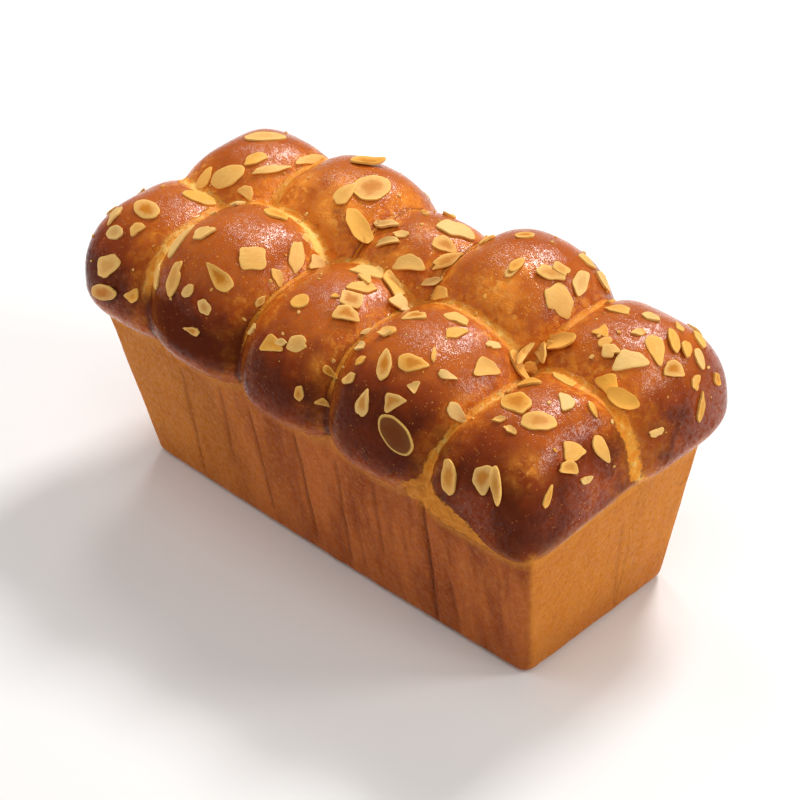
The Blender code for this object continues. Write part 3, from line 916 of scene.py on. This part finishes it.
def lobe_look(nodes, mark, clouds):
    """The colour of the lobes, and how far torn dough shows in the seams between them."""
    bake, height, inner = mark.bake, mark.lobe_height, mark.inner_flank
    # Brown, lighter toward the top; darker where the crust is browner and where painted shade falls on faces
    # turned from the lights.
    brown = nodes.mix(nodes.step(clouds.large, 0.36, 0.62), BROWN, RED_BROWN)
    brown = nodes.mix(nodes.times(nodes.step(height, 0.35, 1.0), 0.6), brown, TOP_BROWN)
    rough_dark = nodes.stir(bake, clouds.medium, 0.75)
    crust = nodes.mix(nodes.step(rough_dark, 0.0, 0.5), brown, MAROON)
    crust = nodes.mix(nodes.step(rough_dark, 0.35, 0.95), crust, DARK_BROWN)

    # Orange near the seams, on the flanks inside, and under the overhang.
    not_dark = nodes.rest(nodes.times(bake, 0.85))
    near = nodes.times(nodes.step(nodes.stir(mark.seam_gap, clouds.medium, 26.0), 15.0, 2.0), 0.8)
    flank = nodes.times(inner, nodes.step(clouds.medium, 0.25, 0.55))
    warm = nodes.times(nodes.math("MAXIMUM", near, flank), not_dark, clamp=True)
    warm = nodes.math("MAXIMUM", warm, nodes.times(nodes.step(height, 0.05, -0.7), 0.75))
    orange = nodes.mix(nodes.step(clouds.patches, 0.42, 0.60), DEEP_ORANGE, ORANGE)
    crust = nodes.mix(warm, crust, orange)

    # Golden mottles, brown streaks, and golden patches, partly painted light.
    region = nodes.step(nodes.noise(nodes.place, 60, 2), 0.46, 0.58)
    mottled = nodes.times(nodes.step(clouds.patches, 0.52, 0.62), region)
    mottled = nodes.times(mottled, nodes.line(warm, 0.5, 0.05))
    crust = nodes.mix(nodes.times(mottled, not_dark), crust, GOLD)
    streaks = nodes.noise(nodes.stretch(nodes.place, (1.0, 1.0, 0.35)), 200, 3, 0.6)
    streaks = nodes.times(inner, nodes.step(streaks, 0.50, 0.38))
    crust = nodes.mix(nodes.times(streaks, 0.5), crust, STREAK_BROWN)
    amber = nodes.times(mark.gilded, nodes.step(clouds.medium, 0.34, 0.60))
    crust = nodes.mix(amber, crust, AMBER)
    gilt = nodes.times(mark.gilded, nodes.step(clouds.blotches, 0.50, 0.66))
    crust = nodes.mix(nodes.times(gilt, 0.65), crust, GILT)

    # Seams: painted shade in the crevice and in the notches where they close at the rim, and pale torn dough
    # elsewhere.
    crevice = nodes.stir(mark.seam_gap, clouds.patches, 2.5)
    crust = nodes.mix(nodes.times(nodes.step(crevice, 2.6, 0.3), 0.75), crust, CREVICE_SHADE)
    closed = nodes.times(nodes.step(crevice, 4.0, 0.5), mark.notch)
    crust = nodes.mix(nodes.times(closed, 0.85), crust, DARK_BROWN)
    pale = nodes.math("ADD", clouds.patches, mark.pale_seam)
    gold = nodes.mix(nodes.step(pale, 0.32, 0.52), ORANGE, GOLD)
    gold = nodes.mix(nodes.step(pale, 0.50, 0.66), gold, PALE_GOLD)
    seam = nodes.stir(nodes.stir(mark.seam_share, clouds.patches, 2.6), clouds.large, 2.5)
    torn = nodes.times(nodes.step(seam, 1.3, 0.7), nodes.rest(mark.notch))
    crust = nodes.mix(nodes.times(torn, 0.92), crust, gold)

    # A painted highlight: a pale band along the lip of the crust over the end, for the glaze's sheen there.
    _, y, _ = nodes.parts(nodes.place)
    lip_sheen = nodes.times(nodes.step(mark.past_rim, -2.2, -0.3), nodes.rest(mark.long_side))
    lip_sheen = nodes.times(lip_sheen, nodes.step(y, -0.052, -0.034))
    return nodes.mix(nodes.times(lip_sheen, 0.5), crust, LIP_SHEEN), torn


def blisters(nodes):
    """Small blisters in the glaze, of varied size and in loose groups."""
    distance, colour = nodes.cells(nodes.place, 800)
    chance, size, _ = nodes.parts(colour)
    spread = nodes.line(size, -0.34, distance)
    blister = nodes.times(nodes.step(spread, 0.12, -0.10), nodes.step(chance, 0.50, 0.60))
    return nodes.times(blister, nodes.step(nodes.noise(nodes.place, 70, 2), 0.38, 0.56))


def side_look(nodes, mark, grain):
    """The colour of the sides: golden; the front long side browner, partly its crust and partly painted
    shade, fading toward its left end as painted light; darker toward the bottom, with upright bands and
    creases.
    """
    mottle = nodes.noise(nodes.stretch(nodes.place, (1.0, 1.0, 0.6)), 85, 4, 0.6)
    bands = nodes.noise(nodes.stretch(nodes.place, (1.0, 1.0, 0.16)), 65, 3, 0.6)
    end_tone = nodes.mix(nodes.step(mottle, 0.32, 0.68), END_GOLD, END_LIGHT)
    shaded_long_tone = nodes.mix(nodes.step(bands, 0.35, 0.65), LONG_BROWN, LONG_LIGHT)
    golden = nodes.mix(mark.long_side, end_tone, shaded_long_tone)
    grain_share = nodes.line(mark.long_side, -0.16, 0.42)
    golden = nodes.mix(nodes.times(nodes.step(grain, 0.46, 0.66), grain_share), golden, GRAIN_LIGHT)
    golden = nodes.mix(nodes.times(nodes.step(grain, 0.47, 0.32), grain_share), golden, GRAIN_DARK)
    _, _, z = nodes.parts(nodes.place)
    golden = nodes.mix(nodes.times(nodes.step(z, 0.030, 0.0), 0.4), golden, LOW_BROWN)
    golden = nodes.mix(nodes.times(nodes.step(mark.past_rim, 6.0, 0.5), 0.45), golden, FRINGE_GOLD)
    # Painted shade darkens the creases.
    return nodes.mix(mark.crease, golden, CREASE_SHADE)


def crust_material():
    nodes = Nodes("baked_crust_look")
    place = nodes.place
    mark = SimpleNamespace(**{name: nodes.attribute(name, "Fac") for name in CRUST_VALUES})
    clouds = SimpleNamespace(
        large=nodes.noise(place, 38, 3, 0.6),
        medium=nodes.noise(place, 95, 4, 0.6, 0.3),
        patches=nodes.noise(place, 230, 4, 0.68, 0.3),
        blotches=nodes.noise(place, 330, 3, 0.6),
    )
    grain = nodes.noise(nodes.stretch(place, (1.0, 1.0, 0.75)), 480, 4, 0.74, 0.6)
    strands = nodes.noise(nodes.stretch(place, (0.5, 1.0, 1.0)), 520, 4, 0.65)

    crust, torn_seam = lobe_look(nodes, mark, clouds)
    blister = blisters(nodes)
    crust = nodes.mix(nodes.times(blister, nodes.line(mark.bake, -0.30, 0.50)), crust, BLISTER)
    under = nodes.step(nodes.stir(mark.past_rim, clouds.patches, 3.0), -0.8, 0.8)
    colour = nodes.mix(under, crust, side_look(nodes, mark, grain))
    strip = nodes.step(nodes.stir(mark.torn, strands, 8.0), -0.6, 1.2)
    strip_tone = nodes.mix(nodes.step(strands, 0.35, 0.65), TORN_BROWN, TORN_GOLD)
    colour = nodes.mix(nodes.times(strip, 0.85), colour, strip_tone)
    nodes.put(nodes.shader.inputs["Base Color"], colour)

    # Glossy on top, dull on the sides and in the torn seams.
    dull = nodes.math("MAXIMUM", nodes.math("MAXIMUM", under, strip), nodes.times(torn_seam, 0.8))
    shine = nodes.step(nodes.noise(place, 480, 3, 0.7), 0.40, 0.58)
    rough = nodes.line(dull, 0.34, nodes.line(shine, -0.06, 0.20))
    nodes.put(nodes.shader.inputs["Roughness"], rough)
    gloss = nodes.times(nodes.line(shine, 0.54, 0.07), nodes.line(mark.bake, -1.1, 1.0, clamp=True))
    gloss = nodes.times(gloss, nodes.line(dull, -0.80, 1.0))
    nodes.put(nodes.shader.inputs["Specular IOR Level"], gloss)

    # Relief too fine for the mesh: the glaze, its blisters, torn dough, and the grain of the sides.
    not_dark = nodes.math("SUBTRACT", 1.0, mark.bake, clamp=True)
    fine_share = nodes.times(not_dark, nodes.math("SUBTRACT", 1.2, dull))
    fine = nodes.times(nodes.noise(place, 1400, 2, 0.6), fine_share)
    relief = nodes.bump(fine, 1.0, 0.00017)
    lumpy = nodes.times(clouds.medium, nodes.line(mark.bake, -0.7, 1.0))
    relief = nodes.bump(lumpy, 0.5, 0.0008, relief)
    relief = nodes.bump(blister, 0.5, 0.0003, relief)
    ragged = nodes.times(clouds.patches, nodes.math("MAXIMUM", torn_seam, strip))
    relief = nodes.bump(ragged, 0.9, 0.0012, relief)
    relief = nodes.bump(nodes.times(grain, under), 0.8, 0.0008, relief)
    nodes.put(nodes.shader.inputs["Normal"], relief)
    return nodes.material


def almond_material():
    nodes = Nodes("almond_look")
    grain = nodes.attribute("grain", "Vector")
    edge, tone, toast = (nodes.attribute(name, "Fac") for name in ("edge", "tone", "toast"))
    streaks = nodes.noise(nodes.stretch(grain, (0.12, 1.0, 1.0)), 2.2, 3, 0.6)
    cloud = nodes.noise(grain, 0.35, 2)
    pale = nodes.mix(tone, ALMOND_YELLOW, ALMOND_CREAM)
    pale = nodes.mix(nodes.times(nodes.step(streaks, 0.35, 0.7), 0.32), pale, ALMOND_STREAK)
    inside = nodes.step(nodes.line(cloud, -0.7, edge), 0.50, -0.10)
    body = nodes.mix(nodes.times(inside, nodes.step(toast, 0.0, 0.9)), pale, ALMOND_HEART)
    body = nodes.mix(nodes.times(nodes.step(toast, 0.2, 1.2), 0.40), body, ALMOND_TAN)
    body = nodes.mix(nodes.times(nodes.step(toast, 0.9, 1.4), 0.9), body, ALMOND_BROWN)
    # Painted light: flakes in shade, marked below 0, get a brighter amber for light shining through them.
    body = nodes.mix(nodes.step(toast, 0.0, -0.5), body, ALMOND_SHADE_GLOW)
    rim = nodes.times(nodes.step(edge, 0.84, 0.95), nodes.line(toast, 0.35, 0.3, clamp=True))
    body = nodes.mix(rim, body, ALMOND_RIM)
    nodes.put(nodes.shader.inputs["Base Color"], body)
    nodes.put(nodes.shader.inputs["Roughness"], nodes.line(streaks, 0.2, 0.38))
    nodes.shader.inputs["Specular IOR Level"].default_value = 0.12
    nodes.put(nodes.shader.inputs["Normal"], nodes.bump(streaks, 0.4, 0.0003))
    return nodes.material


def floor_material():
    nodes = Nodes("floor_look")
    nodes.shader.inputs["Base Color"].default_value = (0.86, 0.86, 0.86, 1.0)
    nodes.shader.inputs["Roughness"].default_value = 0.7
    return nodes.material


def camera():
    azimuth, elevation = math.radians(CAMERA_AZIMUTH), math.radians(CAMERA_ELEVATION)
    roll = math.radians(CAMERA_ROLL)
    level = math.cos(elevation)
    back = Vector((math.sin(azimuth) * level, -math.cos(azimuth) * level, math.sin(elevation)))
    right = Vector((0, 0, 1)).cross(back).normalized()
    up = back.cross(right)
    turned_right = right * math.cos(roll) + up * math.sin(roll)
    turned_up = up * math.cos(roll) - right * math.sin(roll)
    data = bpy.data.cameras.new("camera")
    data.lens = CAMERA_LENS
    data.sensor_width = CAMERA_SENSOR
    obj = bpy.data.objects.new("camera", data)
    turn = Matrix((turned_right, turned_up, back)).transposed().to_4x4()
    obj.matrix_world = Matrix.Translation(Vector(CAMERA_AIM) + back * CAMERA_DISTANCE) @ turn
    bpy.context.collection.objects.link(obj)
    bpy.context.scene.camera = obj


def soft_light(name, place, size, watts, colour, mirrored):
    data = bpy.data.lights.new(name, "AREA")
    data.shape = "RECTANGLE"
    data.size, data.size_y = size
    data.energy = watts
    data.color = colour
    obj = bpy.data.objects.new(name, data)
    place = Vector(place)
    turn = (place - Vector(LIGHT_AIM)).to_track_quat("Z", "Y").to_matrix().to_4x4()
    obj.matrix_world = Matrix.Translation(place) @ turn
    obj.visible_glossy = mirrored
    bpy.context.collection.objects.link(obj)


def stage():
    far = FLOOR_REACH
    points = [(-far, -far, 0), (far, -far, 0), (far, far, 0), (-far, far, 0)]
    floor = mesh_object("floor", points, [(0, 1, 2, 3)], floor_material())
    for light in LIGHTS:
        soft_light(*light)
    world = bpy.data.worlds.new("studio")
    world.use_nodes = True
    background = world.node_tree.nodes["Background"]
    background.inputs["Color"].default_value = (1.0, 1.0, 1.0, 1.0)
    background.inputs["Strength"].default_value = WORLD_STRENGTH
    bpy.context.scene.world = world
    bpy.context.scene.view_settings.view_transform = "Standard"


def main():
    crust = crust_object(crust_material())
    almonds = almond_object(almond_material())
    for piece in (crust, almonds):
        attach(piece, "root")
        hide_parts("loaf")
    camera()
    stage()


main()
